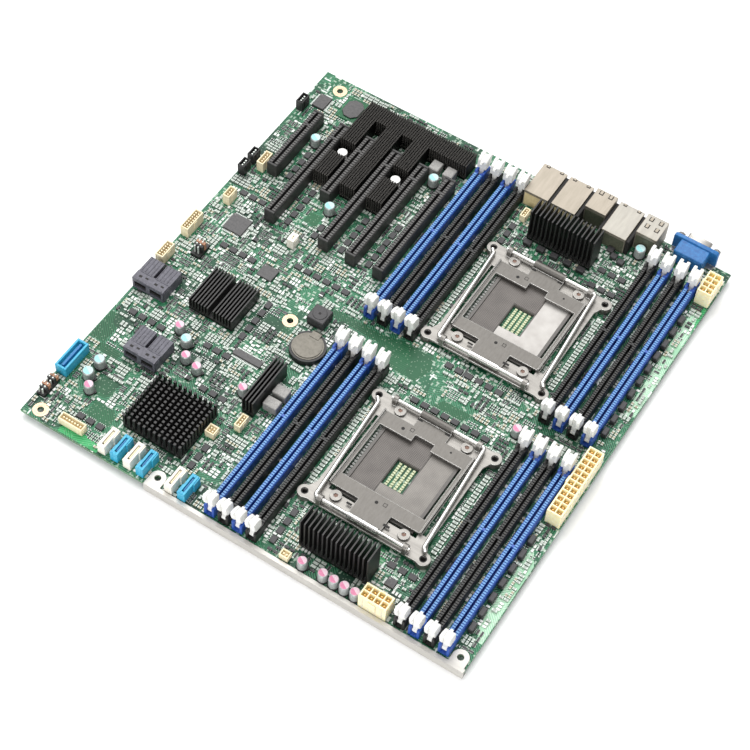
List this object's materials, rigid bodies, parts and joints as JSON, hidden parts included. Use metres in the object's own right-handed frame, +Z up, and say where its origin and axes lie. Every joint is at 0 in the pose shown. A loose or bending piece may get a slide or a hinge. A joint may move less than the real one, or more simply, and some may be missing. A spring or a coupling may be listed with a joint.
{
  "type": "server motherboard",
  "caption": "Flat green server motherboard with paired processor sockets, latched memory slots, expansion slots, heatsinks and rear ports",
  "frame": {"origin": "centre of the footprint, on the surface the board lies on", "axes": "+Z up out of the component side, +Y towards the rear ports, +X towards the main power connector"},
  "size_m": [0.305, 0.3388, 0.0332],
  "materials": {
    "board": "satin",
    "bright_steel": "satin",
    "plated_steel": "satin",
    "memory_plastic": "satin",
    "slot_plastic": "satin",
    "socket_plastic": "matte",
    "black_aluminium": "matte",
    "white_plastic": "satin",
    "port_metal": "satin",
    "video_blue": "satin",
    "ivory_plastic": "satin",
    "storage_plastic": "satin",
    "header_plastic": "satin",
    "dark_plastic": "matte",
    "cell_steel": "satin",
    "can_aluminium": "satin"
  },
  "bodies": {
    "board": {"circuit_board": "board", "front_stiffener": "bright_steel", "memory_slots": "memory_plastic", "expansion_slots": "slot_plastic", "cpu_sockets": "socket_plastic", "socket_frames": "plated_steel", "socket_backplates": "plated_steel", "socket_screws": "bright_steel", "chipset_heatsink": "black_aluminium", "controller_heatsink": "black_aluminium", "regulator_heatsinks": "black_aluminium", "slot_heatsink": "black_aluminium", "heatsink_push_pins": "white_plastic", "rear_ports": "port_metal", "video_port": "video_blue", "power_connectors": "ivory_plastic", "storage_connectors": "storage_plastic", "board_headers": "header_plastic", "battery_holder": "dark_plastic", "coin_cell": "cell_steel", "capacitors": "can_aluminium", "chips_and_chokes": "dark_plastic"},
    "load_plate_front": {"load_plate_front": "plated_steel"},
    "lever_front_socket_front": {"lever_front_socket_front": "bright_steel"},
    "lever_front_socket_rear": {"lever_front_socket_rear": "bright_steel"},
    "load_plate_rear": {"load_plate_rear": "plated_steel"},
    "lever_rear_socket_front": {"lever_rear_socket_front": "bright_steel"},
    "lever_rear_socket_rear": {"lever_rear_socket_rear": "bright_steel"},
    "latch_front_left_1_front": {"latch_front_left_1_front": "white_plastic"},
    "latch_front_left_1_rear": {"latch_front_left_1_rear": "white_plastic"},
    "latch_front_left_2_front": {"latch_front_left_2_front": "white_plastic"},
    "latch_front_left_2_rear": {"latch_front_left_2_rear": "white_plastic"},
    "latch_front_left_3_front": {"latch_front_left_3_front": "white_plastic"},
    "latch_front_left_3_rear": {"latch_front_left_3_rear": "white_plastic"},
    "latch_front_left_4_front": {"latch_front_left_4_front": "white_plastic"},
    "latch_front_left_4_rear": {"latch_front_left_4_rear": "white_plastic"},
    "latch_front_right_1_front": {"latch_front_right_1_front": "white_plastic"},
    "latch_front_right_1_rear": {"latch_front_right_1_rear": "white_plastic"},
    "latch_front_right_2_front": {"latch_front_right_2_front": "white_plastic"},
    "latch_front_right_2_rear": {"latch_front_right_2_rear": "white_plastic"},
    "latch_front_right_3_front": {"latch_front_right_3_front": "white_plastic"},
    "latch_front_right_3_rear": {"latch_front_right_3_rear": "white_plastic"},
    "latch_front_right_4_front": {"latch_front_right_4_front": "white_plastic"},
    "latch_front_right_4_rear": {"latch_front_right_4_rear": "white_plastic"},
    "latch_rear_left_1_front": {"latch_rear_left_1_front": "white_plastic"},
    "latch_rear_left_1_rear": {"latch_rear_left_1_rear": "white_plastic"},
    "latch_rear_left_2_front": {"latch_rear_left_2_front": "white_plastic"},
    "latch_rear_left_2_rear": {"latch_rear_left_2_rear": "white_plastic"},
    "latch_rear_left_3_front": {"latch_rear_left_3_front": "white_plastic"},
    "latch_rear_left_3_rear": {"latch_rear_left_3_rear": "white_plastic"},
    "latch_rear_left_4_front": {"latch_rear_left_4_front": "white_plastic"},
    "latch_rear_left_4_rear": {"latch_rear_left_4_rear": "white_plastic"},
    "latch_rear_right_1_front": {"latch_rear_right_1_front": "white_plastic"},
    "latch_rear_right_1_rear": {"latch_rear_right_1_rear": "white_plastic"},
    "latch_rear_right_2_front": {"latch_rear_right_2_front": "white_plastic"},
    "latch_rear_right_2_rear": {"latch_rear_right_2_rear": "white_plastic"},
    "latch_rear_right_3_front": {"latch_rear_right_3_front": "white_plastic"},
    "latch_rear_right_3_rear": {"latch_rear_right_3_rear": "white_plastic"},
    "latch_rear_right_4_front": {"latch_rear_right_4_front": "white_plastic"},
    "latch_rear_right_4_rear": {"latch_rear_right_4_rear": "white_plastic"}
  },
  "joints": [
    {"name": "load_plate_front_hinge", "type": "hinge", "parent": "board", "child": "load_plate_front", "pos_m": [0.0584, -0.0424, 0.0142], "axis": [-1, 0, 0], "range_deg": [0, 110]},
    {"name": "lever_front_socket_front_hinge", "type": "hinge", "parent": "board", "child": "lever_front_socket_front", "pos_m": [0.0584, -0.1244, 0.0142], "axis": [1, 0, 0], "range_deg": [0, 135]},
    {"name": "lever_front_socket_rear_hinge", "type": "hinge", "parent": "board", "child": "lever_front_socket_rear", "pos_m": [0.0584, -0.0424, 0.0142], "axis": [-1, 0, 0], "range_deg": [0, 135]},
    {"name": "load_plate_rear_hinge", "type": "hinge", "parent": "board", "child": "load_plate_rear", "pos_m": [0.0584, 0.0929, 0.0142], "axis": [-1, 0, 0], "range_deg": [0, 110]},
    {"name": "lever_rear_socket_front_hinge", "type": "hinge", "parent": "board", "child": "lever_rear_socket_front", "pos_m": [0.0584, 0.0109, 0.0142], "axis": [1, 0, 0], "range_deg": [0, 135]},
    {"name": "lever_rear_socket_rear_hinge", "type": "hinge", "parent": "board", "child": "lever_rear_socket_rear", "pos_m": [0.0584, 0.0929, 0.0142], "axis": [-1, 0, 0], "range_deg": [0, 135]},
    {"name": "latch_front_left_1_front_hinge", "type": "hinge", "parent": "board", "child": "latch_front_left_1_front", "pos_m": [-0.0191, -0.1616, 0.0104], "axis": [1, 0, 0], "range_deg": [0, 28]},
    {"name": "latch_front_left_1_rear_hinge", "type": "hinge", "parent": "board", "child": "latch_front_left_1_rear", "pos_m": [-0.0191, -0.0272, 0.0104], "axis": [-1, 0, 0], "range_deg": [0, 28]},
    {"name": "latch_front_left_2_front_hinge", "type": "hinge", "parent": "board", "child": "latch_front_left_2_front", "pos_m": [-0.0095, -0.1616, 0.0104], "axis": [1, 0, 0], "range_deg": [0, 28]},
    {"name": "latch_front_left_2_rear_hinge", "type": "hinge", "parent": "board", "child": "latch_front_left_2_rear", "pos_m": [-0.0095, -0.0272, 0.0104], "axis": [-1, 0, 0], "range_deg": [0, 28]},
    {"name": "latch_front_left_3_front_hinge", "type": "hinge", "parent": "board", "child": "latch_front_left_3_front", "pos_m": [0.0001, -0.1616, 0.0104], "axis": [1, 0, 0], "range_deg": [0, 28]},
    {"name": "latch_front_left_3_rear_hinge", "type": "hinge", "parent": "board", "child": "latch_front_left_3_rear", "pos_m": [0.0001, -0.0272, 0.0104], "axis": [-1, 0, 0], "range_deg": [0, 28]},
    {"name": "latch_front_left_4_front_hinge", "type": "hinge", "parent": "board", "child": "latch_front_left_4_front", "pos_m": [0.0097, -0.1616, 0.0104], "axis": [1, 0, 0], "range_deg": [0, 28]},
    {"name": "latch_front_left_4_rear_hinge", "type": "hinge", "parent": "board", "child": "latch_front_left_4_rear", "pos_m": [0.0097, -0.0272, 0.0104], "axis": [-1, 0, 0], "range_deg": [0, 28]},
    {"name": "latch_front_right_1_front_hinge", "type": "hinge", "parent": "board", "child": "latch_front_right_1_front", "pos_m": [0.1083, -0.1616, 0.0104], "axis": [1, 0, 0], "range_deg": [0, 28]},
    {"name": "latch_front_right_1_rear_hinge", "type": "hinge", "parent": "board", "child": "latch_front_right_1_rear", "pos_m": [0.1083, -0.0272, 0.0104], "axis": [-1, 0, 0], "range_deg": [0, 28]},
    {"name": "latch_front_right_2_front_hinge", "type": "hinge", "parent": "board", "child": "latch_front_right_2_front", "pos_m": [0.1179, -0.1616, 0.0104], "axis": [1, 0, 0], "range_deg": [0, 28]},
    {"name": "latch_front_right_2_rear_hinge", "type": "hinge", "parent": "board", "child": "latch_front_right_2_rear", "pos_m": [0.1179, -0.0272, 0.0104], "axis": [-1, 0, 0], "range_deg": [0, 28]},
    {"name": "latch_front_right_3_front_hinge", "type": "hinge", "parent": "board", "child": "latch_front_right_3_front", "pos_m": [0.1275, -0.1616, 0.0104], "axis": [1, 0, 0], "range_deg": [0, 28]},
    {"name": "latch_front_right_3_rear_hinge", "type": "hinge", "parent": "board", "child": "latch_front_right_3_rear", "pos_m": [0.1275, -0.0272, 0.0104], "axis": [-1, 0, 0], "range_deg": [0, 28]},
    {"name": "latch_front_right_4_front_hinge", "type": "hinge", "parent": "board", "child": "latch_front_right_4_front", "pos_m": [0.1371, -0.1616, 0.0104], "axis": [1, 0, 0], "range_deg": [0, 28]},
    {"name": "latch_front_right_4_rear_hinge", "type": "hinge", "parent": "board", "child": "latch_front_right_4_rear", "pos_m": [0.1371, -0.0272, 0.0104], "axis": [-1, 0, 0], "range_deg": [0, 28]},
    {"name": "latch_rear_left_1_front_hinge", "type": "hinge", "parent": "board", "child": "latch_rear_left_1_front", "pos_m": [-0.0191, 0.0069, 0.0104], "axis": [1, 0, 0], "range_deg": [0, 28]},
    {"name": "latch_rear_left_1_rear_hinge", "type": "hinge", "parent": "board", "child": "latch_rear_left_1_rear", "pos_m": [-0.0191, 0.1413, 0.0104], "axis": [-1, 0, 0], "range_deg": [0, 28]},
    {"name": "latch_rear_left_2_front_hinge", "type": "hinge", "parent": "board", "child": "latch_rear_left_2_front", "pos_m": [-0.0095, 0.0069, 0.0104], "axis": [1, 0, 0], "range_deg": [0, 28]},
    {"name": "latch_rear_left_2_rear_hinge", "type": "hinge", "parent": "board", "child": "latch_rear_left_2_rear", "pos_m": [-0.0095, 0.1413, 0.0104], "axis": [-1, 0, 0], "range_deg": [0, 28]},
    {"name": "latch_rear_left_3_front_hinge", "type": "hinge", "parent": "board", "child": "latch_rear_left_3_front", "pos_m": [0.0001, 0.0069, 0.0104], "axis": [1, 0, 0], "range_deg": [0, 28]},
    {"name": "latch_rear_left_3_rear_hinge", "type": "hinge", "parent": "board", "child": "latch_rear_left_3_rear", "pos_m": [0.0001, 0.1413, 0.0104], "axis": [-1, 0, 0], "range_deg": [0, 28]},
    {"name": "latch_rear_left_4_front_hinge", "type": "hinge", "parent": "board", "child": "latch_rear_left_4_front", "pos_m": [0.0097, 0.0069, 0.0104], "axis": [1, 0, 0], "range_deg": [0, 28]},
    {"name": "latch_rear_left_4_rear_hinge", "type": "hinge", "parent": "board", "child": "latch_rear_left_4_rear", "pos_m": [0.0097, 0.1413, 0.0104], "axis": [-1, 0, 0], "range_deg": [0, 28]},
    {"name": "latch_rear_right_1_front_hinge", "type": "hinge", "parent": "board", "child": "latch_rear_right_1_front", "pos_m": [0.1083, 0.0004, 0.0104], "axis": [1, 0, 0], "range_deg": [0, 28]},
    {"name": "latch_rear_right_1_rear_hinge", "type": "hinge", "parent": "board", "child": "latch_rear_right_1_rear", "pos_m": [0.1083, 0.1348, 0.0104], "axis": [-1, 0, 0], "range_deg": [0, 28]},
    {"name": "latch_rear_right_2_front_hinge", "type": "hinge", "parent": "board", "child": "latch_rear_right_2_front", "pos_m": [0.1179, 0.0004, 0.0104], "axis": [1, 0, 0], "range_deg": [0, 28]},
    {"name": "latch_rear_right_2_rear_hinge", "type": "hinge", "parent": "board", "child": "latch_rear_right_2_rear", "pos_m": [0.1179, 0.1348, 0.0104], "axis": [-1, 0, 0], "range_deg": [0, 28]},
    {"name": "latch_rear_right_3_front_hinge", "type": "hinge", "parent": "board", "child": "latch_rear_right_3_front", "pos_m": [0.1275, 0.0004, 0.0104], "axis": [1, 0, 0], "range_deg": [0, 28]},
    {"name": "latch_rear_right_3_rear_hinge", "type": "hinge", "parent": "board", "child": "latch_rear_right_3_rear", "pos_m": [0.1275, 0.1348, 0.0104], "axis": [-1, 0, 0], "range_deg": [0, 28]},
    {"name": "latch_rear_right_4_front_hinge", "type": "hinge", "parent": "board", "child": "latch_rear_right_4_front", "pos_m": [0.1371, 0.0004, 0.0104], "axis": [1, 0, 0], "range_deg": [0, 28]},
    {"name": "latch_rear_right_4_rear_hinge", "type": "hinge", "parent": "board", "child": "latch_rear_right_4_rear", "pos_m": [0.1371, 0.1348, 0.0104], "axis": [-1, 0, 0], "range_deg": [0, 28]}
  ]
}
